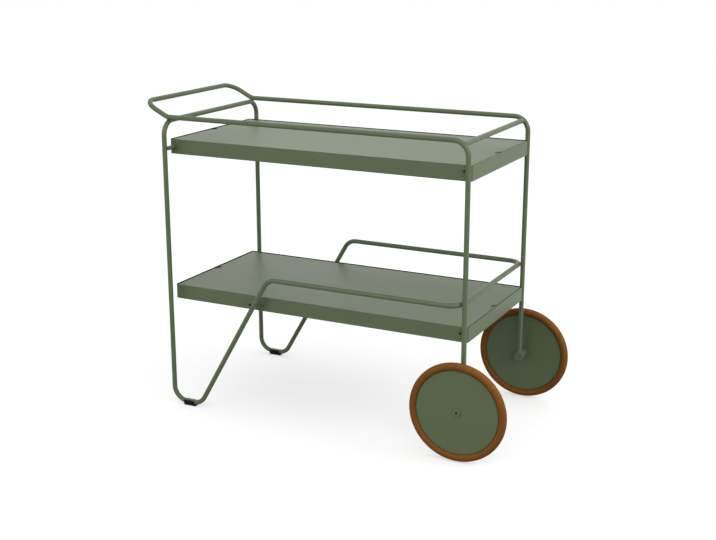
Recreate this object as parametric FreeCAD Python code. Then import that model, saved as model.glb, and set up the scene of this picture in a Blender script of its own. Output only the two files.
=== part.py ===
import FreeCAD, Part
import math
import os

# Serving trolley of bent tube with two sheet trays and two large wheels.
# +X points to the wheels, -Y to the front long side and +Z up, in millimetres.
# The origin is on the floor, under the middle of the overall length and width.

# Overall sizes
leg_to_post = 827.5
handle_reach = 71.95
wheel_diameter = 250.0
leg_outset = 19.95

# Tube stock, one die for every bend
tube_diameter = 12.7
tube_wall = 1.5
bend_radius = 38.0
spigot_length = 60.0
spigot_clearance = 0.05

# Leg loop
leg_crossbar_height = 765.3
diagonal_lean = 30.0
diagonal_floor_setback = 78.3
lower_rail_rise = 96.6

# Rail frame
kink_setback = 2.0
handle_rise = 35.5
crossbar_bend_angle = 50.0

# Welds where round tubes touch
weld_radius = 4.6

# Foot pads
pad_length = 35.0
pad_sole_length = 29.0
pad_width = 17.0
pad_height = 11.5
pad_sole_thickness = 3.0
pad_edge_radius = 2.0

# Trays
tray_overhang = 5.75
tray_width = 393.0
tray_height = 38.2
tray_corner_radius = 8.0
tray_edge_radius = 0.5
sheet_thickness = 1.5
ledge_width = 22.0
ledge_leg_height = 20.0
ledge_corner_radius = 3.0
hem_width = 10.0
upper_tray_drop = 87.4
lower_tray_height = 286.4

# Lift-out panels
panel_gap = 3.0
panel_drop = 1.2
panel_thickness = 2.5
panel_edge_radius = 0.8
notch_radius = 13.0

# Tray fixings, round bars welded beside the tubes and screwed to the skirts
rail_gap = 4.2
bar_diameter = 11.0
bar_seat_share = 0.16
screw_diameter = 4.0
screw_hole_clearance = 0.1
screw_head_diameter = 6.0
screw_head_height = 2.4
nut_across_flats = 7.0
nut_height = 3.2
post_nut_drop = 3.4
leg_nut_drop = 5.9
screw_end_projection = 1.5

# Axle, from the post outwards
boss_diameter = 26.0
boss_length = 30.6
boss_inset = 8.0
boss_edge_radius = 1.0
axle_diameter = 10.0
axle_thread_diameter = 8.0
axle_thread_length = 20.0
axle_head_diameter = 22.0
axle_head_height = 2.0
axle_socket_across_flats = 6.0
axle_socket_depth = 3.0
washer_diameter = 22.0
washer_thickness = 1.0
washer_clearance = 0.1

# Wheel
disc_thickness = 9.0
disc_rim_inset = 15.0
tyre_width = 20.8
tyre_depth = 19.2
hub_diameter = 24.0
hub_inner_reach = 9.6
bush_wall = 2.0
bush_flange_diameter = 19.0
bush_flange_thickness = 0.8
bush_length = 6.0
running_clearance = 0.05
axial_clearance = 0.25

# One overrun for every cut
overrun = 5.0

# Worked-out places
tube_radius = tube_diameter / 2
bore_radius = tube_radius - tube_wall
wheel_radius = wheel_diameter / 2
overall_length = tube_radius + handle_reach + leg_to_post + wheel_radius
wheel_x = overall_length / 2 - wheel_radius
axle_z = wheel_radius
leg_x = wheel_x - leg_to_post
handle_x = leg_x - handle_reach
kink_x = leg_x - kink_setback
tray_length = leg_to_post + 2 * tray_overhang
tray_x = leg_x - tray_overhang
tray_half_width = tray_width / 2
ledge_depth = panel_drop + panel_thickness
rail_y = tray_half_width + rail_gap + tube_radius
leg_y = rail_y + leg_outset
foot_z = pad_sole_thickness + tube_radius
upper_tray_height = leg_crossbar_height - upper_tray_drop
lower_rail_height = lower_tray_height + lower_rail_rise
lean = math.tan(math.radians(diagonal_lean))


def diagonal_x(z):
    return leg_x + diagonal_floor_setback + z * lean


# A rail outside a bend of the leg loop touches it this far past the loop's straight run.
bend_start_y = leg_y - bend_radius
touch_reach = bend_radius + tube_diameter
touch_offset = math.sqrt(touch_reach ** 2 - (rail_y - bend_start_y) ** 2) - bend_radius
end_rail_x = wheel_x - touch_offset

# The rail already climbs into its kink where it crosses the leg loop.
kink_turn = math.atan2(handle_rise, kink_x - handle_x)
kink_start = bend_radius * math.tan(kink_turn / 2) - kink_setback
kink_slope = math.asin(kink_start / bend_radius)
kink_climb = bend_radius * (1 - math.cos(kink_slope))
sloped_reach = bend_radius + tube_diameter / math.cos(kink_slope)
sloped_offset = math.sqrt(sloped_reach ** 2 - (rail_y - bend_start_y) ** 2) - bend_radius
rail_z = leg_crossbar_height + sloped_offset - kink_climb
handle_z = rail_z + handle_rise

# The upper end crossbar meets the bends between the rails and the posts.
crossbar_angle = math.radians(crossbar_bend_angle)
end_crossbar_x = wheel_x - bend_radius * (1 - math.cos(crossbar_angle))
end_crossbar_z = rail_z - bend_radius * (1 - math.sin(crossbar_angle))

# The wheel's middle plane follows from the boss, the washer and the hub.
boss_outer_y = rail_y - boss_inset + boss_length
wheel_y = boss_outer_y + washer_thickness + axial_clearance + hub_inner_reach
disc_face = disc_thickness / 2
bush_bore_radius = axle_diameter / 2 + running_clearance
bush_radius = bush_bore_radius + bush_wall
shoulder_length = washer_thickness + hub_inner_reach + disc_face + 2 * axial_clearance

parts = {}


def at(x, y, z):
    return FreeCAD.Vector(x, y, z)


along_y = at(0, 1, 0)
along_z = at(0, 0, 1)
centre = at(0, 0, 0)


def mirrored(shape):
    """The same piece on the back long side."""
    return shape.mirror(centre, along_y)


def group(solids):
    return Part.makeCompound(solids)


def cylinder(radius, length, start, direction):
    return Part.makeCylinder(radius, length, start, direction)


def hexagon(across_flats, length, start, direction):
    """Hexagonal prism along the given axis."""
    ring = Part.makePolygon([
        at(across_flats / math.sqrt(3) * math.cos(math.radians(60 * corner)),
           across_flats / math.sqrt(3) * math.sin(math.radians(60 * corner)), 0)
        for corner in range(7)
    ])
    prism = Part.Face(ring).extrude(along_z * length)
    prism.Placement = FreeCAD.Placement(start, FreeCAD.Rotation(along_z, direction))
    return prism


def bent_path(corners):
    """Straight runs joined by bends of the one bend radius."""
    edges = []
    last = corners[0]
    for before, corner, after in zip(corners, corners[1:], corners[2:]):
        back = (before - corner).normalize()
        ahead = (after - corner).normalize()
        half = back.getAngle(ahead) / 2
        tangent = bend_radius / math.tan(half)
        middle = (back + ahead).normalize()
        top = corner + middle * (bend_radius / math.sin(half) - bend_radius)
        start = corner + back * tangent
        end = corner + ahead * tangent
        edges.append(Part.LineSegment(last, start).toShape())
        edges.append(Part.Arc(start, top, end).toShape())
        last = end
    edges.append(Part.LineSegment(last, corners[-1]).toShape())
    return Part.Wire(edges)


def swept(corners, radius):
    """Round bar of the given radius along a bent path."""
    path = bent_path(corners)
    run = corners[1] - corners[0]
    ring = Part.Wire(Part.makeCircle(radius, corners[0], run))
    return path.makePipeShell([ring], True, False)


def bent_tube(corners):
    return swept(corners, tube_radius).cut(swept(corners, bore_radius))


def straight_tube(start, end):
    run = end - start
    outer = cylinder(tube_radius, run.Length, start, run)
    return outer.cut(cylinder(bore_radius, run.Length, start, run))


# Leg loop and rail frame, each of two bent tubes that butt on the middle plane
leg_corners = [
    at(leg_x, 0, leg_crossbar_height),
    at(leg_x, -leg_y, leg_crossbar_height),
    at(leg_x, -leg_y, foot_z),
    at(diagonal_x(foot_z), -leg_y, foot_z),
    at(diagonal_x(lower_rail_height), -leg_y, lower_rail_height),
    at(end_rail_x, -leg_y, lower_rail_height),
    at(end_rail_x, 0, lower_rail_height),
]
rail_corners = [
    at(handle_x, 0, handle_z),
    at(handle_x, -rail_y, handle_z),
    at(kink_x, -rail_y, rail_z),
    at(wheel_x, -rail_y, rail_z),
    at(wheel_x, -rail_y, axle_z),
]
leg_bar = swept(leg_corners, tube_radius)
rail_bar = swept(rail_corners, tube_radius)
leg_bars = leg_bar.fuse(mirrored(leg_bar))
rail_bars = rail_bar.fuse(mirrored(rail_bar))

# Axle boss, welded under the post's end and tapped from its outer face
boss_start = at(wheel_x, -rail_y + boss_inset, axle_z)
boss_body = cylinder(boss_diameter / 2, boss_length, boss_start, -along_y)
boss_tap = cylinder(
    axle_thread_diameter / 2, axle_thread_length, at(wheel_x, -boss_outer_y, axle_z), along_y)
boss_rims = [edge for edge in boss_body.Edges if edge.Closed]
axle_boss = boss_body.makeFillet(boss_edge_radius, boss_rims).cut(boss_tap)

leg_tube = bent_tube(leg_corners)
rail_tube = bent_tube(rail_corners).cut(boss_body)
parts["front_leg_tube"] = leg_tube
parts["back_leg_tube"] = mirrored(leg_tube)
parts["front_rail_tube"] = rail_tube
parts["back_rail_tube"] = mirrored(rail_tube)
parts["front_axle_boss"] = axle_boss
parts["back_axle_boss"] = mirrored(axle_boss)


def spigot(x, z):
    """Plug inside the tubes across a butt joint on the middle plane."""
    start = at(x, -spigot_length / 2, z)
    return cylinder(bore_radius - spigot_clearance, spigot_length, start, along_y)


parts["tube_spigots"] = group([
    spigot(handle_x, handle_z),
    spigot(leg_x, leg_crossbar_height),
    spigot(end_rail_x, lower_rail_height),
])

# Upper end crossbar, its ends coped to the bends
crossbar_left = at(end_crossbar_x, -rail_y, end_crossbar_z)
crossbar_right = at(end_crossbar_x, rail_y, end_crossbar_z)
parts["end_crossbar"] = straight_tube(crossbar_left, crossbar_right).cut(rail_bars)


def weld_bead(loop_point, rail_point):
    """Ring of weld metal round the point where two tubes touch."""
    ball = Part.makeSphere(weld_radius, (loop_point + rail_point) * 0.5)
    return ball.cut(leg_bars).cut(rail_bars)


# The touching points lie on the line from the loop's bend centre to the rail.
seat_angle = math.asin((rail_y - bend_start_y) / touch_reach)
seat_y = bend_start_y + bend_radius * math.sin(seat_angle)
seat_rise = bend_radius * (1 - math.cos(seat_angle))
handle_side_bead = weld_bead(
    at(leg_x, -seat_y, leg_crossbar_height - seat_rise), at(leg_x, -rail_y, rail_z + kink_climb))
wheel_side_bead = weld_bead(
    at(end_rail_x - seat_rise, -seat_y, lower_rail_height), at(wheel_x, -rail_y, lower_rail_height))
beads = [handle_side_bead, wheel_side_bead]
parts["weld_beads"] = group(beads + [mirrored(bead) for bead in beads])

# Foot pad, a rubber shoe with sloping ends that grips the tube's lower half
flat_start = leg_x + bend_radius
flat_end = diagonal_x(foot_z) - bend_radius * math.tan(math.radians((90 - diagonal_lean) / 2))
pad_x = (flat_start + flat_end) / 2
pad_side = Part.Face(Part.makePolygon([
    at(pad_x - pad_sole_length / 2, -leg_y - pad_width / 2, 0),
    at(pad_x + pad_sole_length / 2, -leg_y - pad_width / 2, 0),
    at(pad_x + pad_length / 2, -leg_y - pad_width / 2, foot_z),
    at(pad_x + pad_length / 2, -leg_y - pad_width / 2, pad_height),
    at(pad_x - pad_length / 2, -leg_y - pad_width / 2, pad_height),
    at(pad_x - pad_length / 2, -leg_y - pad_width / 2, foot_z),
    at(pad_x - pad_sole_length / 2, -leg_y - pad_width / 2, 0),
]))
pad_block = pad_side.extrude(along_y * pad_width)
pad_sole_edges = [
    edge for edge in pad_block.Edges
    if edge.BoundBox.ZMax < pad_sole_thickness and edge.BoundBox.YLength < pad_width / 2
]
foot_pad = pad_block.makeFillet(pad_edge_radius, pad_sole_edges).cut(leg_bar)
parts["front_foot_pad"] = foot_pad
parts["back_foot_pad"] = mirrored(foot_pad)


def rounded_slab(inset, bottom, top):
    """Slab of the tray's outline moved in by an inset, with rounded upright edges."""
    slab = Part.makeBox(
        tray_length - 2 * inset, tray_width - 2 * inset, top - bottom,
        at(tray_x + inset, inset - tray_half_width, bottom))
    upright = [edge for edge in slab.Edges if edge.BoundBox.ZLength > (top - bottom) / 2]
    return slab.makeFillet(max(tray_corner_radius - inset, ledge_corner_radius), upright)


def tray_ring(outer_inset, width, bottom, top):
    """Strip of sheet that runs round the tray."""
    inside = rounded_slab(outer_inset + width, bottom - overrun, top + overrun)
    return rounded_slab(outer_inset, bottom, top).cut(inside)


def rounded_crown(shape, top, radius):
    """The shape with its topmost edges rounded."""
    crown = [edge for edge in shape.Edges if edge.BoundBox.ZMin > top - sheet_thickness / 2]
    return shape.makeFillet(radius, crown)


def tray_frame(bottom, screw_places):
    """Skirt with a bottom hem and a welded angle whose ledge carries the panel."""
    top = bottom + tray_height
    ledge_z = top - ledge_depth
    ledge_bottom = ledge_z - sheet_thickness
    skirt = rounded_crown(tray_ring(0, sheet_thickness, bottom, top), top, tray_edge_radius)
    hem = tray_ring(0, hem_width, bottom, bottom + sheet_thickness)
    ledge = tray_ring(sheet_thickness, ledge_width, ledge_bottom, ledge_z)
    leg = tray_ring(sheet_thickness, sheet_thickness, ledge_z - ledge_leg_height, ledge_bottom)
    body = skirt.fuse([hem, ledge, leg]).removeSplitter()
    for x, z in screw_places:
        body = body.cut(cylinder(
            screw_diameter / 2 + screw_hole_clearance, tray_width + 2 * overrun,
            at(x, -tray_half_width - overrun, z), along_y))
    return body


def tray_panel(bottom):
    """Flat plate that lies on the ledge, with a finger notch in each end."""
    top = bottom + tray_height - panel_drop
    inset = sheet_thickness + panel_gap
    slab = rounded_slab(inset, top - panel_thickness, top)
    plate = rounded_crown(slab, top, panel_edge_radius)
    for end_x in (tray_x + inset, tray_x + tray_length - inset):
        plate = plate.cut(cylinder(notch_radius, tray_height, at(end_x, 0, bottom), along_z))
    return plate


def fixing_bar(x, z, tube_y, tube_bar):
    """Round bar from the skirt to the middle of a tube's flank, drilled for its screw."""
    face = at(x, -tray_half_width, z)
    reach = tube_y - tray_half_width
    bar = cylinder(bar_diameter / 2, reach, face, -along_y)
    bore = cylinder(screw_diameter / 2 + screw_hole_clearance, reach, face, -along_y)
    return bar.cut(bore).cut(tube_bar)


def bar_screw(x, z, tube_y):
    """Screw through a bar, the skirt and the ledge's leg, its head outside."""
    shank = tube_y - tray_half_width + 2 * sheet_thickness + nut_height + screw_end_projection
    head = cylinder(screw_head_diameter / 2, screw_head_height, at(x, -tube_y, z), -along_y)
    outside = -tube_y - screw_head_height / 2
    rim = [edge for edge in head.Edges if edge.Closed and edge.BoundBox.YMax < outside]
    head = head.makeFillet(screw_head_height / 3, rim)
    return head.fuse(cylinder(screw_diameter / 2, shank, at(x, -tube_y, z), along_y))


def bar_nut(x, z):
    start = at(x, 2 * sheet_thickness - tray_half_width, z)
    nut = hexagon(nut_across_flats, nut_height, start, along_y)
    return nut.cut(cylinder(screw_diameter / 2, nut_height, start, along_y))


# Both trays, their panels and fixings
bar_offset = tube_radius + bar_diameter / 2 - bar_diameter * bar_seat_share
standoffs = []
screws = []
nuts = []
for level, bottom in (("upper", upper_tray_height), ("lower", lower_tray_height)):
    ledge_bottom = bottom + tray_height - ledge_depth - sheet_thickness
    post_side_z = ledge_bottom - post_nut_drop - nut_across_flats / 2
    if level == "upper":
        leg_side_z = bottom + tray_height / 2
        leg_side_x = leg_x + bar_offset
    else:
        leg_side_z = ledge_bottom - leg_nut_drop - nut_across_flats / 2
        leg_side_x = diagonal_x(leg_side_z) - bar_offset / math.cos(math.radians(diagonal_lean))
    post_side_x = wheel_x - bar_offset
    places = [(leg_side_x, leg_side_z), (post_side_x, post_side_z)]
    parts[level + "_tray_frame"] = tray_frame(bottom, places)
    parts[level + "_tray_panel"] = tray_panel(bottom)
    lug = fixing_bar(post_side_x, post_side_z, rail_y, rail_bar)
    parts[level + "_tray_lugs"] = group([lug, mirrored(lug)])
    standoffs.append(fixing_bar(leg_side_x, leg_side_z, leg_y, leg_bar))
    for (x, z), tube_y in zip(places, (leg_y, rail_y)):
        screws.append(bar_screw(x, z, tube_y))
        nuts.append(bar_nut(x, z))

parts["leg_standoffs"] = group(standoffs + [mirrored(one) for one in standoffs])
parts["lug_screws"] = group(screws + [mirrored(one) for one in screws])
parts["lug_nuts"] = group(nuts + [mirrored(one) for one in nuts])


def on_axle(y):
    """Point on the front wheel's axis."""
    return at(wheel_x, y, axle_z)


def turned(profile):
    """Solid of revolution about the front wheel's axis."""
    return Part.Face(Part.Wire(profile)).revolve(on_axle(0), along_y, 360)


# Wheel: a flat disc whose edge sits in the tyre's groove
tyre_centre_radius = wheel_radius - tyre_depth / 2
disc_radius = wheel_radius - disc_rim_inset
outer_face_y = -wheel_y - disc_face
inner_hub_y = -wheel_y + hub_inner_reach
disc = cylinder(disc_radius, disc_thickness, on_axle(outer_face_y), along_y)
disc = disc.cut(cylinder(hub_diameter / 2, disc_thickness, on_axle(outer_face_y), along_y))

section_centre = at(wheel_x, -wheel_y, axle_z + tyre_centre_radius)
half_width, half_depth = tyre_width / 2, tyre_depth / 2
wide_tip = section_centre + along_y * half_width
deep_tip = section_centre + along_z * half_depth
oval = Part.Ellipse(wide_tip, deep_tip, section_centre)
tyre = turned([oval.toShape()]).cut(
    cylinder(disc_radius, disc_thickness, on_axle(outer_face_y), along_y))

# Hub sleeve with a flanged bush let into each end
hub_length = hub_inner_reach + disc_face
hub = cylinder(hub_diameter / 2, hub_length, on_axle(outer_face_y), along_y)
hub = hub.cut(cylinder(bush_radius, hub_length, on_axle(outer_face_y), along_y))
bushes = []
for face_y, inward in ((outer_face_y, along_y), (inner_hub_y, -along_y)):
    face = on_axle(face_y)
    hub = hub.cut(cylinder(bush_flange_diameter / 2, bush_flange_thickness, face, inward))
    bush = cylinder(bush_radius, bush_length, face, inward)
    bush = bush.fuse(cylinder(bush_flange_diameter / 2, bush_flange_thickness, face, inward))
    bushes.append(bush.cut(cylinder(bush_bore_radius, bush_length, face, inward)))

# Shouldered axle bolt, its flanged head outside the disc
head_y = outer_face_y - axial_clearance
head = cylinder(axle_head_diameter / 2, axle_head_height, on_axle(head_y), -along_y)
head_rim = [edge for edge in head.Edges if edge.Closed and edge.BoundBox.YMax < head_y - axle_head_height / 2]
head = head.makeFillet(axle_head_height / 2, head_rim)
bolt = head.fuse(cylinder(axle_diameter / 2, shoulder_length, on_axle(head_y), along_y))
bolt = bolt.fuse(cylinder(
    axle_thread_diameter / 2, axle_thread_length, on_axle(-boss_outer_y), along_y))
bolt = bolt.cut(hexagon(
    axle_socket_across_flats, axle_socket_depth, on_axle(head_y - axle_head_height), along_y))

washer = cylinder(washer_diameter / 2, washer_thickness, on_axle(-boss_outer_y), -along_y)
washer = washer.cut(cylinder(
    axle_diameter / 2 + washer_clearance, washer_thickness, on_axle(-boss_outer_y), -along_y))

wheel_pieces = {
    "wheel_disc": disc,
    "tyre": tyre,
    "wheel_hub": hub,
    "hub_bushes": group(bushes),
    "axle_bolt": bolt,
    "axle_washer": washer,
}
for name, piece in wheel_pieces.items():
    parts["front_" + name] = piece
    parts["back_" + name] = mirrored(piece)

os.makedirs("parts", exist_ok=True)
for name, shape in parts.items():
    shape.exportStep(os.path.join("parts", name + ".step"))
    solids = shape.Solids
    volume = sum(solid.Volume for solid in solids)
    print(f"{name}: {len(solids)} solid(s), {volume / 1000:.2f} cm3, valid {shape.isValid()}")
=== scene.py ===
import math
import bpy
from mathutils import Matrix, Vector


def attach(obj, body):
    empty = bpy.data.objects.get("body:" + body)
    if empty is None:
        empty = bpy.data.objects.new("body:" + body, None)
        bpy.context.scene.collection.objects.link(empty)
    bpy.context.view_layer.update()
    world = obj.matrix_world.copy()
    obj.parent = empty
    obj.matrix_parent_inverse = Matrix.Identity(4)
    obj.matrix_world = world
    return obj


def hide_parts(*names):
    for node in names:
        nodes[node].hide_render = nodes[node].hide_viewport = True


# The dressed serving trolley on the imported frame. Sizes are in millimetres and
# each mesh is scaled to metres as it is made. +X points to the wheels, -Y to the front.

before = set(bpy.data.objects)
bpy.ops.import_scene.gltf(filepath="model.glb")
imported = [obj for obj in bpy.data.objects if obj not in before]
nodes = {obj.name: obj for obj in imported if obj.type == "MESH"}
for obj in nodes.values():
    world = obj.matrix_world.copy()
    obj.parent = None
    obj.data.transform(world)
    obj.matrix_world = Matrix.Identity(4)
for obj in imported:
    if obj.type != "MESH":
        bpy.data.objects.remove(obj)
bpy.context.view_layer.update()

MM = 0.001

# Sizes of the construction model
TUBE_R = 6.35
BEND_R = 38.0
LEG_X, LEG_Y = -437.1, 227.0
RAIL_Y = 207.05
WHEEL_X, AXLE_Z = 390.4, 125.0
HANDLE_X, HANDLE_Z = -509.05, 809.7536
KINK_X, RAIL_Z = -439.1, 774.2536
LEG_BAR_Z, LOW_RAIL_Z, END_RAIL_X = 765.3, 383.0, 381.0219
FOOT_Z = 9.35
CROSSBAR_X, CROSSBAR_Z = 376.8259, 765.3633
DIAGONAL_X0, LEAN = -358.8, math.radians(30)
BOSS_R, BOSS_BORE_R, BOSS_INNER_Y, BOSS_OUTER_Y = 13.0, 4.2, 199.05, 229.65
WHEEL_Y, DISC_HALF = 240.5, 4.5
TRAY_X0, TRAY_X1, TRAY_HALF_W, TRAY_H = -442.85, 396.15, 196.5, 38.2
TRAY_CORNER_R, SHEET = 8.0, 1.5
LEDGE_DEPTH, LEDGE_W, LEDGE_LEG, HEM_W = 3.7, 22.0, 20.0, 10.0
PANEL_GAP, PANEL_DROP, PANEL_T, PANEL_EDGE_R, NOTCH_R = 3.0, 1.2, 2.5, 0.8, 13.0
TRAY_BOTTOM = {"upper": 677.9, "lower": 286.4}
BAR_R, BAR_OFFSET, BAR_EASE, SCREW_R = 5.5, 10.09, 0.8, 2.0
SCREW_HEAD_R, SCREW_HEAD_H, NUT_HALF, NUT_H = 3.0, 2.4, 3.5, 3.2
POST_DROP, LEG_DROP, SCREW_END = 3.4, 5.9, 1.5
HEAD_FACE_Y, AXLE_R, THREAD_R, THREAD_END_Y = 245.25, 5.0, 4.0, 209.65
AXLE_HEAD_R, AXLE_HEAD_H = 11.0, 2.0
HUB_R, HUB_BORE_R, HUB_END = 12.0, 9.5, 9.6
TYRE_MID, TYRE_HALF_W, TYRE_HALF_D = 115.4, 10.4, 9.6
PAD_X, PAD_HALF_W, PAD_TOP = -387.2, 8.5, 13.6

# Sides and steps of the round forms
FINE, ROUND, SMALL = 160, 64, 32
BEND_STEP = 3.0
CORNER_STEPS = 8

# A full turn, and how far a coped end sinks into the piece that it meets
TURN = 2 * math.pi
SINK = 0.15


def diagonal_x(z):
    """Where the leaning part of a leg runs at a height."""
    return DIAGONAL_X0 + z * math.tan(LEAN)


# ---- Materials

def new_material(name, colour, roughness, metallic=0.0, specular=0.5):
    """A material with its node tree and shader."""
    material = bpy.data.materials.new(name)
    material.use_nodes = True
    tree = material.node_tree
    shader = tree.nodes["Principled BSDF"]
    shader.inputs["Base Color"].default_value = (*colour, 1)
    shader.inputs["Roughness"].default_value = roughness
    shader.inputs["Metallic"].default_value = metallic
    shader.inputs["Specular IOR Level"].default_value = specular
    return material, tree, shader


def noise(tree, scale, detail):
    """The value of a noise in object space, in metres."""
    place = tree.nodes.new("ShaderNodeTexCoord")
    node = tree.nodes.new("ShaderNodeTexNoise")
    node.inputs["Scale"].default_value = scale
    node.inputs["Detail"].default_value = detail
    tree.links.new(place.outputs["Object"], node.inputs["Vector"])
    return node.outputs["Fac"]


def tint(tree, shader, source, low, high, start=0.3, end=0.7):
    """Base colour that wanders between two near tones."""
    ramp = tree.nodes.new("ShaderNodeValToRGB")
    ramp.color_ramp.elements[0].position = start
    ramp.color_ramp.elements[0].color = (*low, 1)
    ramp.color_ramp.elements[1].position = end
    ramp.color_ramp.elements[1].color = (*high, 1)
    tree.links.new(source, ramp.inputs["Fac"])
    tree.links.new(ramp.outputs["Color"], shader.inputs["Base Color"])


def vary_roughness(tree, shader, source, low, high):
    """Roughness that follows a noise from low to high."""
    spread = tree.nodes.new("ShaderNodeMapRange")
    spread.inputs["To Min"].default_value = low
    spread.inputs["To Max"].default_value = high
    tree.links.new(source, spread.inputs["Value"])
    tree.links.new(spread.outputs["Result"], shader.inputs["Roughness"])


def bump(tree, shader, source, depth):
    """Relief of a depth in metres that follows a noise."""
    node = tree.nodes.new("ShaderNodeBump")
    node.inputs["Strength"].default_value = 1.0
    node.inputs["Distance"].default_value = depth
    tree.links.new(source, node.inputs["Height"])
    tree.links.new(node.outputs["Normal"], shader.inputs["Normal"])


def powder_coat(name, colour, roughness):
    """Matt powder coat: near-even colour with a fine pebbled skin."""
    drift, spread = 0.035, 0.05
    material, tree, shader = new_material(name, colour, roughness, specular=0.3)
    cloud = noise(tree, scale=14.0, detail=3.0)
    tint(tree, shader, cloud, [c * (1 - drift) for c in colour], [c * (1 + drift) for c in colour])
    pebble = noise(tree, scale=900.0, detail=2.0)
    vary_roughness(tree, shader, pebble, roughness - spread, roughness + spread)
    bump(tree, shader, pebble, depth=0.00006)
    return material


def rubber(name, dark, light, roughness, grain=1300.0, depth=0.00008, specular=0.1):
    """Matt rubber with a soft mottle and a fine moulded grain."""
    spread = 0.06
    material, tree, shader = new_material(name, light, roughness, specular=specular)
    cloud = noise(tree, scale=60.0, detail=4.0)
    tint(tree, shader, cloud, dark, light, 0.35, 0.65)
    pore = noise(tree, grain, detail=3.0)
    vary_roughness(tree, shader, pore, roughness - spread, roughness + spread)
    bump(tree, shader, pore, depth)
    return material


def plated_steel(name, colour, roughness):
    """Bare or plated metal with a faint cloudiness."""
    dull_share, spread = 0.85, 0.08
    material, tree, shader = new_material(name, colour, roughness, metallic=1.0)
    cloud = noise(tree, scale=220.0, detail=4.0)
    tint(tree, shader, cloud, [c * dull_share for c in colour], colour)
    vary_roughness(tree, shader, cloud, roughness - spread, roughness + spread)
    bump(tree, shader, cloud, depth=0.00003)
    return material


GREEN = (0.088, 0.121, 0.060)
frame_paint = powder_coat("frame_powder_coat", GREEN, 0.40)
tray_paint = powder_coat("tray_powder_coat", GREEN, 0.42)
panel_paint = powder_coat("panel_powder_coat", (0.088, 0.121, 0.053), 0.42)
wheel_paint = powder_coat("wheel_powder_coat", GREEN, 0.46)
tyre_rubber = rubber("terracotta_rubber", (0.160, 0.057, 0.008), (0.193, 0.071, 0.011), 0.55)
pad_rubber = rubber("black_rubber", (0.003, 0.003, 0.003), (0.006, 0.006, 0.006), 0.70)
bush_plastic = rubber("bush_plastic", (0.012, 0.012, 0.012), (0.018, 0.018, 0.018), 0.45,
                      grain=700.0, depth=0.00003, specular=0.5)
black_steel = plated_steel("black_oxide_steel", (0.030, 0.030, 0.031), 0.42)
zinc_steel = plated_steel("zinc_plated_steel", (0.55, 0.55, 0.53), 0.38)
drawn_steel = plated_steel("drawn_steel", (0.42, 0.42, 0.41), 0.34)


# ---- Mesh helpers

SHARP_ANGLE = math.radians(35)


def circle(around):
    """Angles that divide a full turn."""
    return [TURN * j / around for j in range(around)]


def piece(name, points, faces, material, body, stands_for=(), slot=None):
    """A mesh in the row frame that rides on a body."""
    mesh = bpy.data.meshes.new(name)
    mesh.from_pydata([Vector(p) * MM for p in points], [], faces)
    mesh.validate()
    mesh.update()
    mesh.polygons.foreach_set("use_smooth", [True] * len(mesh.polygons))
    mesh.set_sharp_from_angle(angle=SHARP_ANGLE)
    mesh.materials.append(material)
    thing = bpy.data.objects.new(name, mesh)
    bpy.context.scene.collection.objects.link(thing)
    weigh = thing.modifiers.new("weighted", "WEIGHTED_NORMAL")
    weigh.keep_sharp = True
    weigh.weight = 80
    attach(thing, body)
    if stands_for:
        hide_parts(*stands_for)


def joined(*shells):
    """Several (points, faces) pairs as one."""
    points, faces = [], []
    for more_points, more_faces in shells:
        base = len(points)
        points += more_points
        faces += [tuple(base + i for i in face) for face in more_faces]
    return points, faces


def mirrored(shell):
    """The shell on the back long side."""
    points, faces = shell
    return [Vector((p.x, -p.y, p.z)) for p in points], [tuple(reversed(face)) for face in faces]


def both_sides(shell):
    """The shell and its mirror image, welded where they meet on the middle plane."""
    points, faces = shell
    number = []
    everything = list(points)
    for i, p in enumerate(points):
        if abs(p.y) < 1e-6:
            number.append(i)
        else:
            number.append(len(everything))
            everything.append(Vector((p.x, -p.y, p.z)))
    return everything, list(faces) + [tuple(number[i] for i in reversed(face)) for face in faces]


def bent_path(corners):
    """Places and headings along straight runs joined by bends."""
    places = [(corners[0], (corners[1] - corners[0]).normalized())]
    for before, corner, after in zip(corners, corners[1:], corners[2:]):
        back = (before - corner).normalized()
        ahead = (after - corner).normalized()
        turn = math.pi - back.angle(ahead)
        middle = corner + (back + ahead).normalized() * (BEND_R / math.cos(turn / 2))
        arm = corner + back * (BEND_R * math.tan(turn / 2)) - middle
        axis = (-back).cross(ahead).normalized()
        steps = max(4, round(math.degrees(turn) / BEND_STEP))
        for k in range(steps + 1):
            spin = Matrix.Rotation(turn * k / steps, 3, axis)
            places.append((middle + spin @ arm, spin @ (-back)))
    places.append((corners[-1], (corners[-1] - corners[-2]).normalized()))
    return places


def skin(rings, loop=False, capped=False):
    """Faces between successive rings of as many points."""
    size = len(rings[0])
    points = [p for ring in rings for p in ring]
    faces = []
    for i in range(len(rings) if loop else len(rings) - 1):
        a, b = i * size, (i + 1) % len(rings) * size
        for j in range(size):
            k = (j + 1) % size
            faces.append((a + j, a + k, b + k, b + j))
    if capped:
        faces.append(tuple(reversed(range(size))))
        faces.append(tuple((len(rings) - 1) * size + j for j in range(size)))
    return points, faces


def tube(corners, start=None, end=None):
    """Round tube along a bent path; start and end place the points of a closed end."""
    places = bent_path(corners)
    heading = places[0][1]
    side = heading.orthogonal().normalized()
    rings = []
    for point, ahead in places:
        side = heading.rotation_difference(ahead) @ side
        heading = ahead
        up = ahead.cross(side)
        rings.append([
            point + (side * math.cos(a) + up * math.sin(a)) * TUBE_R for a in circle(SMALL)
        ])
    if start:
        rings[0] = [start(p) for p in rings[0]]
    if end:
        rings[-1] = [end(p) for p in rings[-1]]
    points, faces = skin(rings)
    if start:
        faces.append(tuple(reversed(range(SMALL))))
    if end:
        faces.append(tuple(range(len(points) - SMALL, len(points))))
    return points, faces


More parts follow.
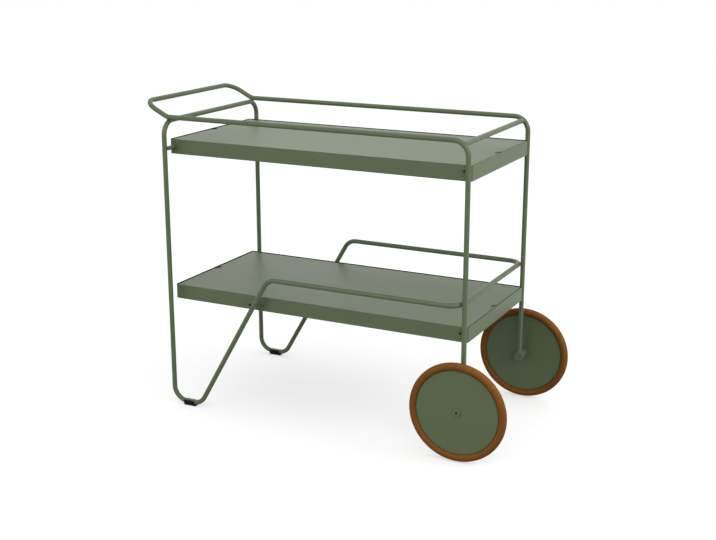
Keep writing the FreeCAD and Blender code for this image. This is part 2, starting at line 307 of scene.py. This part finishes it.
def bead(loop, radius, pitch=2.2):
    """Weld bead with a light ripple along a closed loop of points."""
    ripple, sides = 0.16, 10
    middle = sum(loop, Vector()) / len(loop)
    count = len(loop)
    length = sum((loop[i] - loop[i - 1]).length for i in range(count))
    waves = max(3, round(length / pitch))
    rings = []
    for i, point in enumerate(loop):
        ahead = (loop[(i + 1) % count] - loop[i - 1]).normalized()
        out = point - middle
        out = (out - ahead * out.dot(ahead)).normalized()
        up = ahead.cross(out)
        swell = radius * (1 + ripple * math.cos(TURN * waves * i / count))
        rings.append([
            point + (out * math.cos(a) + up * math.sin(a)) * swell for a in circle(sides)
        ])
    return skin(rings, loop=True)


def rounded(corners, radii, steps=4):
    """Closed outline in two dimensions with each corner rounded."""
    result = []
    count = len(corners)
    for i, (corner, radius) in enumerate(zip(corners, radii)):
        before, after = Vector(corners[i - 1]), Vector(corners[(i + 1) % count])
        corner = Vector(corner)
        if not radius:
            result.append(corner)
            continue
        back, ahead = (before - corner).normalized(), (after - corner).normalized()
        half = back.angle(ahead) / 2
        middle = corner + (back + ahead).normalized() * (radius / math.sin(half))
        first = corner + back * (radius / math.tan(half)) - middle
        last = corner + ahead * (radius / math.tan(half)) - middle
        sweep = first.angle_signed(last)
        for k in range(steps + 1):
            turn = Matrix.Rotation(-sweep * k / steps, 2)
            result.append(middle + turn @ first)
    return result


def revolved(profile, around):
    """Closed profile of (y, radius) pairs turned about the front wheel's axle."""
    return skin([
        [Vector((WHEEL_X + r * math.sin(a), y, AXLE_Z + r * math.cos(a))) for y, r in profile]
        for a in circle(around)
    ], loop=True)


def socket_bolt(place, axis, head_r, height, dome, hex_width, depth, shank, around):
    """Button head with a hexagon socket on its shank; the axis points out of the head."""
    side = axis.orthogonal().normalized()
    up = axis.cross(side)
    sixth = TURN / 6
    rings = []

    def ring(radius, rise, flat=False):
        loop = []
        for a in circle(around):
            near = (a + sixth / 2) % sixth - sixth / 2
            reach = radius / math.cos(near) if flat else radius
            loop.append(place + (side * math.cos(a) + up * math.sin(a)) * reach + axis * rise)
        rings.append(loop)

    for radius, rise in shank:
        ring(radius, rise)
    ring(head_r, 0)
    ring(head_r, height - dome)
    dome_steps = 6
    for k in range(1, dome_steps + 1):
        a = math.pi / 2 * k / dome_steps
        ring(head_r - dome * (1 - math.cos(a)), height - dome + dome * math.sin(a))
    # The socket's mouth is eased, and its floor ends in a shallow cone.
    ease, flat_share, cone, tip_r = 0.35, 0.4, 0.5, 0.05
    rim = hex_width / 2 + ease
    ring(rim + (head_r - dome - rim) * flat_share, height)
    ring(rim, height, True)
    ring(hex_width / 2, height - ease, True)
    ring(hex_width / 2, height - depth, True)
    ring(tip_r, height - depth - cone)
    return skin(rings, capped=True)


# ---- Frame tubes

def seat_on_boss(p):
    """End of a post, coped to the boss below it."""
    return Vector((p.x, p.y, AXLE_Z + math.sqrt(BOSS_R ** 2 - (p.x - WHEEL_X) ** 2) - SINK))


leg_corners = [
    Vector((LEG_X, 0, LEG_BAR_Z)),
    Vector((LEG_X, -LEG_Y, LEG_BAR_Z)),
    Vector((LEG_X, -LEG_Y, FOOT_Z)),
    Vector((diagonal_x(FOOT_Z), -LEG_Y, FOOT_Z)),
    Vector((diagonal_x(LOW_RAIL_Z), -LEG_Y, LOW_RAIL_Z)),
    Vector((END_RAIL_X, -LEG_Y, LOW_RAIL_Z)),
    Vector((END_RAIL_X, 0, LOW_RAIL_Z)),
]
rail_corners = [
    Vector((HANDLE_X, 0, HANDLE_Z)),
    Vector((HANDLE_X, -RAIL_Y, HANDLE_Z)),
    Vector((KINK_X, -RAIL_Y, RAIL_Z)),
    Vector((WHEEL_X, -RAIL_Y, RAIL_Z)),
    Vector((WHEEL_X, -RAIL_Y, AXLE_Z + BOSS_R)),
]
piece("leg_loop", *both_sides(tube(leg_corners)), frame_paint, "frame",
      ["front_leg_tube", "back_leg_tube"], "frame_paint")
piece("rail_frame", *both_sides(tube(rail_corners, end=seat_on_boss)), frame_paint, "frame",
      ["front_rail_tube", "back_rail_tube"], "frame_paint")


def rail_depth(x, z):
    """How far inside the rail bend's centre line a bar along Y meets the tube."""
    off = math.hypot(x - (WHEEL_X - BEND_R), z - (RAIL_Z - BEND_R)) - BEND_R
    return math.sqrt(max(TUBE_R ** 2 - off ** 2, 0))


def seat_on_rail(p):
    """End of the crossbar, coped to the inside of a rail's bend."""
    return Vector((p.x, math.copysign(RAIL_Y - rail_depth(p.x, p.z) + SINK, p.y), p.z))


piece("end_crossbar_tube", *tube(
    [Vector((CROSSBAR_X, -RAIL_Y, CROSSBAR_Z)), Vector((CROSSBAR_X, RAIL_Y, CROSSBAR_Z))],
    start=seat_on_rail, end=seat_on_rail), frame_paint, "frame", ["end_crossbar"], "frame_paint")

# ---- Axle bosses with a rounded closed end and a blind hole for the bolt

bore_play, axis_r, end_round, mouth_round = 2.0, 0.02, 1.4, 0.8
bore_end_y = THREAD_END_Y - bore_play
boss = revolved(rounded([
    (-bore_end_y, BOSS_BORE_R), (-bore_end_y, axis_r), (-BOSS_INNER_Y, axis_r),
    (-BOSS_INNER_Y, BOSS_R), (-BOSS_OUTER_Y, BOSS_R), (-BOSS_OUTER_Y, BOSS_BORE_R),
], [0, 0, 0, end_round, mouth_round, 0]), ROUND)
piece("axle_bosses", *joined(boss, mirrored(boss)), frame_paint, "frame",
      ["front_axle_boss", "back_axle_boss"], "frame_paint")

# ---- Welds

crossbar_seam = []
for a in circle(FINE):
    x, z = CROSSBAR_X + TUBE_R * math.cos(a), CROSSBAR_Z + TUBE_R * math.sin(a)
    crossbar_seam.append(Vector((x, -(RAIL_Y - rail_depth(x, z)), z)))
boss_seam = [
    Vector((WHEEL_X + TUBE_R * math.cos(a), TUBE_R * math.sin(a) - RAIL_Y,
            AXLE_Z + math.sqrt(BOSS_R ** 2 - (TUBE_R * math.cos(a)) ** 2)))
    for a in circle(FINE)
]
seams = joined(bead(crossbar_seam, radius=1.0), bead(boss_seam, radius=1.5))
piece("seam_welds", *joined(seams, mirrored(seams)), frame_paint, "frame", slot="frame_paint")


def mound(place, radii, tilt):
    """Small weld mound with a lobed edge between two touching tubes."""
    levels, sides, lobes, lobe_share, pole_share = 14, 20, 5, 0.06, 0.01
    rings = []
    for i in range(levels + 1):
        lift = math.pi * min(max(i / levels, pole_share), 1 - pole_share)
        ring = []
        for a in circle(sides):
            reach = math.sin(lift) * (1 + lobe_share * math.cos(lobes * a))
            ring.append(place + tilt @ Vector((
                radii[0] * reach * math.cos(a), radii[1] * reach * math.sin(a),
                -radii[2] * math.cos(lift))))
        rings.append(ring)
    return skin(rings, capped=True)


seat_angle = math.asin((RAIL_Y - (LEG_Y - BEND_R)) / (BEND_R + 2 * TUBE_R))
seat_y = LEG_Y - BEND_R + (BEND_R + TUBE_R) * math.sin(seat_angle)
seat_rise = BEND_R - (BEND_R + TUBE_R) * math.cos(seat_angle)
mound_long, mound_wide, mound_deep = 5.0, 3.6, 2.6
mounds = joined(
    mound(Vector((LEG_X, -seat_y, LEG_BAR_Z - seat_rise)),
          (mound_long, mound_wide, mound_deep), Matrix.Rotation(seat_angle, 3, "X")),
    mound(Vector((END_RAIL_X - seat_rise, -seat_y, LOW_RAIL_Z)),
          (mound_deep, mound_wide, mound_long), Matrix.Rotation(-seat_angle, 3, "Z")),
)
piece("touch_welds", *joined(mounds, mirrored(mounds)), frame_paint, "frame",
      ["weld_beads"], "frame_paint")

# ---- Trays

def tray_outline(inset, z):
    """Rounded rectangle of the tray, moved in by the inset."""
    least = 3.0
    radius = max(TRAY_CORNER_R - inset, least)
    x0, x1 = TRAY_X0 + inset + radius, TRAY_X1 - inset - radius
    y = TRAY_HALF_W - inset - radius
    loop = []
    for cx, cy, first in ((x1, y, 0), (x0, y, 90), (x0, -y, 180), (x1, -y, 270)):
        for k in range(CORNER_STEPS + 1):
            a = math.radians(first + 90 * k / CORNER_STEPS)
            loop.append(Vector((cx + radius * math.cos(a), cy + radius * math.sin(a), z)))
    return loop


def tray_frame(bottom):
    """Skirt with its hem, and the welded angle that carries the panel."""
    top = bottom + TRAY_H
    ledge = top - LEDGE_DEPTH
    ledge_end = SHEET + LEDGE_W
    corners = [
        (HEM_W, bottom), (0, bottom), (0, top), (SHEET, top), (SHEET, ledge),
        (ledge_end, ledge), (ledge_end, ledge - SHEET), (2 * SHEET, ledge - SHEET),
        (2 * SHEET, ledge - LEDGE_LEG), (SHEET, ledge - LEDGE_LEG), (SHEET, bottom + SHEET),
        (HEM_W, bottom + SHEET),
    ]
    folds = [0.3, 1.8, 0.55, 0.55, 0.5, 0.3, 0.3, 1.2, 0.3, 0.3, 0.4, 0.3]
    return skin([tray_outline(inset, z) for inset, z in rounded(corners, folds)], loop=True)


PANEL_EDGE = SHEET + PANEL_GAP
PANEL_CORNER_R = TRAY_CORNER_R - PANEL_EDGE
NOTCH_EASE, EASE_STEPS, NOTCH_STEPS = 1.5, 5, 12
NOTCH_END_Y = math.sqrt((NOTCH_R + NOTCH_EASE) ** 2 - NOTCH_EASE ** 2)


def notch(x, inward):
    """Half-round finger notch in a panel's end, its two mouths eased."""
    bearing = math.atan2(NOTCH_END_Y, NOTCH_EASE)
    half = []
    for k in range(EASE_STEPS + 1):
        a = bearing * k / EASE_STEPS
        half.append(Vector((
            x + inward * NOTCH_EASE * (1 - math.cos(a)), NOTCH_END_Y - NOTCH_EASE * math.sin(a))))
    for k in range(1, NOTCH_STEPS + 1):
        a = bearing * (1 - k / NOTCH_STEPS)
        half.append(Vector((x + inward * NOTCH_R * math.cos(a), NOTCH_R * math.sin(a))))
    return half + [Vector((p.x, -p.y)) for p in reversed(half[:-1])]


def panel_outline(inset):
    """Panel edge with a finger notch in both ends, moved in by the inset."""
    x0, x1 = TRAY_X0 + PANEL_EDGE, TRAY_X1 - PANEL_EDGE
    y = TRAY_HALF_W - PANEL_EDGE
    plain = rounded([(x1, y), (x0, y), (x0, -y), (x1, -y)], [PANEL_CORNER_R] * 4, CORNER_STEPS)
    half = len(plain) // 2
    flat = plain[:half] + notch(x0, 1) + plain[half:] + notch(x1, -1)[::-1]
    count = len(flat)
    moved = []
    for i, p in enumerate(flat):
        run = (flat[(i + 1) % count] - flat[i - 1]).normalized()
        moved.append(p + Vector((-run.y, run.x)) * inset)
    return moved


def panel_plate(top):
    """Flat panel with a broken lower edge and a rounded upper one."""
    chamfer, steps = 0.2, 5
    levels = [(chamfer, -PANEL_T), (0, chamfer - PANEL_T)]
    for k in range(steps + 1):
        a = math.pi / 2 * k / steps
        levels.append((PANEL_EDGE_R * (1 - math.cos(a)), -PANEL_EDGE_R * (1 - math.sin(a))))
    return skin([
        [Vector((p.x, p.y, top + rise)) for p in panel_outline(inset)]
        for inset, rise in levels
    ], capped=True)


def painted_shade_strip(bottom):
    """Black strip on the skirt's inner face round the panel: painted shade standing in for the
    shade in the gap.
    """
    inner, outer, above_ledge, above_rim = SHEET + 0.1, SHEET - 0.2, 0.05, 0.1
    low, high = bottom + TRAY_H - LEDGE_DEPTH + above_ledge, bottom + TRAY_H + above_rim
    section = [(outer, low), (outer, high), (inner, high), (inner, low)]
    return skin([tray_outline(inset, z) for inset, z in section], loop=True)


for level, bottom in TRAY_BOTTOM.items():
    piece(level + "_tray_sheet", *tray_frame(bottom), tray_paint, "frame",
          [level + "_tray_frame"], "tray_paint")
    piece(level + "_panel_plate", *panel_plate(bottom + TRAY_H - PANEL_DROP), panel_paint,
          level + "_panel", [level + "_tray_panel"], "panel_paint")
    # A black strip paints the shade in the gap between the panel and the skirt.
    piece(level + "_painted_shade_strip", *painted_shade_strip(bottom), pad_rubber, "frame", slot="pad_rubber")

# ---- Foot pads

def foot_shoe():
    """Rubber shoe round the tube's lower part, with sloping ends."""
    grip, steps, brim_r, sole_r = TUBE_R - 0.1, 24, 0.8, 2.0
    first = math.asin((PAD_TOP - FOOT_Z) / grip)
    section = []
    for k in range(steps + 1):
        a = first - (math.pi + 2 * first) * k / steps
        section.append(Vector((grip * math.cos(a), FOOT_Z + grip * math.sin(a))))
    section += rounded(
        [(-PAD_HALF_W, PAD_TOP), (-PAD_HALF_W, 0), (PAD_HALF_W, 0), (PAD_HALF_W, PAD_TOP)],
        [brim_r, sole_r, sole_r, brim_r])
    # Each end has its place along the sole, and the run of its slope up to the brim.
    ends = [(-16.0, -1.0), (18.5, -5.0)]
    rings = [
        [Vector((PAD_X + sole + run * p.y / PAD_TOP, p.x - LEG_Y, p.y)) for p in section]
        for sole, run in ends
    ]
    return skin(rings, capped=True)


for side, shell in (("front", foot_shoe()), ("back", mirrored(foot_shoe()))):
    piece(side + "_foot_shoe", *shell, pad_rubber, "frame", [side + "_foot_pad"], "pad_rubber")

# ---- Fixing bars beside the tubes, with their screws

def fixing_bar(x, z, tube_y):
    """Round bar from the middle of a tube's flank to the skirt, its outer end eased."""
    sides, ease_share = 40, 0.3
    eased = BAR_EASE * ease_share
    ends = [(-tube_y, BAR_R - BAR_EASE), (eased - tube_y, BAR_R - eased),
            (BAR_EASE - tube_y, BAR_R), (-TRAY_HALF_W, BAR_R)]
    return skin([
        [Vector((x + r * math.cos(a), y, z - r * math.sin(a))) for a in circle(sides)]
        for y, r in ends
    ], capped=True)


def flank_weld(x, z, side, lean, tube_y):
    """Bead round the patch where a bar along Y sinks into a tube's flank."""
    across = Vector((math.cos(lean), 0, -math.sin(lean))) * side
    along = Vector((math.sin(lean), 0, math.cos(lean)))
    limit = math.acos((TUBE_R - BAR_OFFSET) / BAR_R)
    round_steps, straight_steps = 40, 16
    loop = []
    for k in range(round_steps + 1):
        a = limit + (TURN - 2 * limit) * k / round_steps
        off = BAR_OFFSET + BAR_R * math.cos(a)
        sunk = math.sqrt(max(TUBE_R ** 2 - off ** 2, 0))
        rim = across * (BAR_R * math.cos(a)) + along * (BAR_R * math.sin(a))
        loop.append(Vector((x, sunk - tube_y, z)) + rim)
    for k in range(1, straight_steps):
        loop.append(loop[round_steps].lerp(loop[0], k / straight_steps))
    return bead(loop, radius=0.8, pitch=2.0)


lugs = {"upper": [], "lower": []}
bars = []
screws = {"black": [], "painted": []}
OUTWARD = Vector((0, -1, 0))
for level, bottom in TRAY_BOTTOM.items():
    ledge_bottom = bottom + TRAY_H - LEDGE_DEPTH - SHEET
    if level == "upper":
        leg_side = (LEG_X + BAR_OFFSET, bottom + TRAY_H / 2, 1, 0.0, LEG_Y)
    else:
        z = ledge_bottom - LEG_DROP - NUT_HALF
        leg_side = (diagonal_x(z) - BAR_OFFSET / math.cos(LEAN), z, -1, LEAN, LEG_Y)
    post_side = (WHEEL_X - BAR_OFFSET, ledge_bottom - POST_DROP - NUT_HALF, -1, 0.0, RAIL_Y)
    for x, z, side, lean, tube_y in (leg_side, post_side):
        shells = bars if tube_y == LEG_Y else lugs[level]
        shells.append(fixing_bar(x, z, tube_y))
        shells.append(flank_weld(x, z, side, lean, tube_y))
        # The upper leg-side heads are painted over with the frame.
        shells = screws["painted" if level == "upper" and tube_y == LEG_Y else "black"]
        reach = tube_y - TRAY_HALF_W + 2 * SHEET + NUT_H + SCREW_END
        shells.append(socket_bolt(
            Vector((x, -tube_y, z)), OUTWARD, SCREW_HEAD_R, SCREW_HEAD_H, dome=0.6, hex_width=2.5,
            depth=2.2, shank=[(SCREW_R, -reach), (SCREW_R, 0)], around=48))

for level, shells in lugs.items():
    whole = joined(*shells)
    piece(level + "_lug_bars", *joined(whole, mirrored(whole)), frame_paint, "frame",
          [level + "_tray_lugs"], "frame_paint")
whole = joined(*bars)
piece("standoff_bars", *joined(whole, mirrored(whole)), frame_paint, "frame",
      ["leg_standoffs"], "frame_paint")
for finish, material in (("black", black_steel), ("painted", frame_paint)):
    whole = joined(*screws[finish])
    piece(finish + "_screws", *joined(whole, mirrored(whole)), material, "frame",
          ["lug_screws"], "dark_steel" if finish == "black" else "frame_paint")

# ---- Wheels

tyre_profile = []
tyre_steps = 40
meet = math.asin(DISC_HALF / TYRE_HALF_W)
for k in range(tyre_steps + 1):
    a = meet + (TURN - 2 * meet) * k / tyre_steps
    tyre_profile.append((
        -WHEEL_Y + TYRE_HALF_W * math.sin(a), TYRE_MID - TYRE_HALF_D * math.cos(a)))
tyre = revolved(tyre_profile, FINE)

# A narrow groove parts the disc's faces from the tyre.
GROOVE_DEPTH, GROOVE_R, DISC_R = 2.4, 105.2, 107.2
disc_outer_y, disc_inner_y = -WHEEL_Y - DISC_HALF, -WHEEL_Y + DISC_HALF
disc_profile = rounded([
    (disc_outer_y, HUB_R), (disc_outer_y, GROOVE_R), (disc_outer_y + GROOVE_DEPTH, GROOVE_R),
    (disc_outer_y + GROOVE_DEPTH, DISC_R), (disc_inner_y - GROOVE_DEPTH, DISC_R),
    (disc_inner_y - GROOVE_DEPTH, GROOVE_R), (disc_inner_y, GROOVE_R), (disc_inner_y, HUB_R),
], [0, 0.4, 0.3, 0.2, 0.2, 0.3, 0.4, 0])
disc = revolved(disc_profile[::-1], FINE)

# The hub sleeve's bore opens a little at both mouths.
mouth_r, mouth_depth, hub_inner_y = HUB_BORE_R + 0.1, 0.8, -WHEEL_Y + HUB_END
hub_profile = rounded([
    (disc_outer_y, mouth_r), (disc_outer_y, HUB_R), (hub_inner_y, HUB_R),
    (hub_inner_y, mouth_r), (hub_inner_y - mouth_depth, HUB_BORE_R),
    (disc_outer_y + mouth_depth, HUB_BORE_R),
], [0.2, 0.35, 0.6, 0.2, 0, 0])
hub = revolved(hub_profile[::-1], ROUND)

bolt = socket_bolt(
    Vector((WHEEL_X, -HEAD_FACE_Y, AXLE_Z)), OUTWARD, AXLE_HEAD_R, AXLE_HEAD_H, dome=1.0,
    hex_width=6.0, depth=5.0, shank=[
        (THREAD_R, THREAD_END_Y - HEAD_FACE_Y), (THREAD_R, BOSS_OUTER_Y - HEAD_FACE_Y),
        (AXLE_R, BOSS_OUTER_Y - HEAD_FACE_Y), (AXLE_R, 0)], around=72)
for side in ("front", "back"):
    turned_over = mirrored if side == "back" else (lambda shell: shell)
    body = side + "_wheel"
    for name, shell, material, rides, node, slot in (
        ("_tyre_ring", tyre, tyre_rubber, body, "_tyre", "tyre_rubber"),
        ("_disc_plate", disc, wheel_paint, body, "_wheel_disc", "wheel_paint"),
        ("_hub_sleeve", hub, wheel_paint, body, "_wheel_hub", "wheel_paint"),
        ("_flanged_bolt", bolt, wheel_paint, "frame", "_axle_bolt", "wheel_paint"),
    ):
        piece(side + name, *turned_over(shell), material, rides, [side + node], slot)

# ---- Construction nodes that stay as they are, with their finishes

for name, material in {
    "tube_spigots": drawn_steel,
    "lug_nuts": zinc_steel,
    "front_hub_bushes": bush_plastic,
    "back_hub_bushes": bush_plastic,
    "front_axle_washer": zinc_steel,
    "back_axle_washer": zinc_steel,
}.items():
    node = nodes[name]
    if not node.material_slots:
        node.data.materials.append(material)
    for holder in node.material_slots:
        holder.material = material

# ---- Floor, light and camera, in metres and watts

VIEWING_RAYS = ["Is Camera Ray", "Is Glossy Ray", "Is Transmission Ray"]


def light_path_mix(tree, seen, unseen):
    """Shows one shader to the viewing rays and another to the rest, which carry light."""
    path = tree.nodes.new("ShaderNodeLightPath")
    mix = tree.nodes.new("ShaderNodeMixShader")
    factor = path.outputs[VIEWING_RAYS[0]]
    for ray in VIEWING_RAYS[1:]:
        add = tree.nodes.new("ShaderNodeMath")
        add.operation = "MAXIMUM"
        tree.links.new(factor, add.inputs[0])
        tree.links.new(path.outputs[ray], add.inputs[1])
        factor = add.outputs[0]
    tree.links.new(factor, mix.inputs["Fac"])
    tree.links.new(unseen, mix.inputs[1])
    tree.links.new(seen, mix.inputs[2])
    return mix.outputs["Shader"]


FLOOR_REACH, FLOOR_Z = 14.0, -0.0004
ground_mesh = bpy.data.meshes.new("floor")
ground_mesh.from_pydata(
    [(x * FLOOR_REACH, y * FLOOR_REACH, FLOOR_Z) for x, y in ((-1, -1), (1, -1), (1, 1), (-1, 1))],
    [], [(0, 1, 2, 3)])
ground = bpy.data.objects.new("floor", ground_mesh)
bpy.context.scene.collection.objects.link(ground)
# The glow lifts the seen floor to the background's white and keeps the shadow.
paper, tree, shader = new_material("pale_floor", (0.55, 0.55, 0.55), 0.9, specular=0.0)
glow = tree.nodes.new("ShaderNodeEmission")
glow.inputs["Strength"].default_value = 0.46
# Rays that carry light meet a darker floor, which throws little of it up at the trolley.
dim = tree.nodes.new("ShaderNodeBsdfDiffuse")
dim.inputs["Color"].default_value = (0.10, 0.10, 0.10, 1)
seen = tree.nodes.new("ShaderNodeAddShader")
tree.links.new(shader.outputs[0], seen.inputs[0])
tree.links.new(glow.outputs[0], seen.inputs[1])
tree.links.new(
    light_path_mix(tree, seen.outputs[0], dim.outputs[0]),
    tree.nodes["Material Output"].inputs["Surface"])
ground_mesh.materials.append(paper)

world = bpy.data.worlds.new("studio")
bpy.context.scene.world = world
world.use_nodes = True
tree = world.node_tree
dome = tree.nodes["Background"]
dome.inputs["Color"].default_value = (1, 1, 1, 1)
dome.inputs["Strength"].default_value = 1.0
white = tree.nodes.new("ShaderNodeBackground")
white.inputs["Color"].default_value = (1, 1, 1, 1)
white.inputs["Strength"].default_value = 1.0
tree.links.new(
    light_path_mix(tree, white.outputs[0], dome.outputs[0]),
    tree.nodes["World Output"].inputs["Surface"])

LAMP_DISTANCE, LAMP_SIZE, LAMP_AIM = 3.6, 2.0, Vector((0, 0, 0.45))


def soft_lamp(name, azimuth, elevation, power):
    """Disk lamp at a bearing from the trolley's middle, in degrees."""
    lamp = bpy.data.lights.new(name, "AREA")
    lamp.shape = "DISK"
    lamp.size = LAMP_SIZE
    lamp.energy = power
    a, e = math.radians(azimuth), math.radians(elevation)
    out = Vector((math.cos(e) * math.cos(a), math.cos(e) * math.sin(a), math.sin(e)))
    thing = bpy.data.objects.new(name, lamp)
    thing.location = LAMP_AIM + out * LAMP_DISTANCE
    thing.rotation_euler = (-out).to_track_quat("-Z", "Y").to_euler()
    thing.visible_camera = False
    bpy.context.scene.collection.objects.link(thing)


# Soft lamps stand off the wheel end, the near corner and the front, and a faint one behind.
soft_lamp("end_lamp", 0, 25, 48.0)
soft_lamp("corner_lamp", -45, 25, 15.0)
soft_lamp("front_lamp", -105, 20, 24.0)
soft_lamp("back_lamp", 117, 16, 5.0)

# The camera, as fitted to the photograph
YAW, PITCH = -0.464002, 0.273340
camera_data = bpy.data.cameras.new("camera")
camera_data.lens = 60.5375
camera_data.sensor_width = 36.0
camera_data.clip_end = 60.0
camera = bpy.data.objects.new("camera", camera_data)
bpy.context.scene.collection.objects.link(camera)
ahead = Vector((
    math.sin(YAW) * math.cos(PITCH), math.cos(YAW) * math.cos(PITCH), -math.sin(PITCH)))
camera.location = (1.377667, -2.743421, 1.230218)
camera.rotation_euler = ahead.to_track_quat("-Z", "Y").to_euler()
bpy.context.scene.camera = camera
bpy.context.scene.view_settings.view_transform = "Standard"
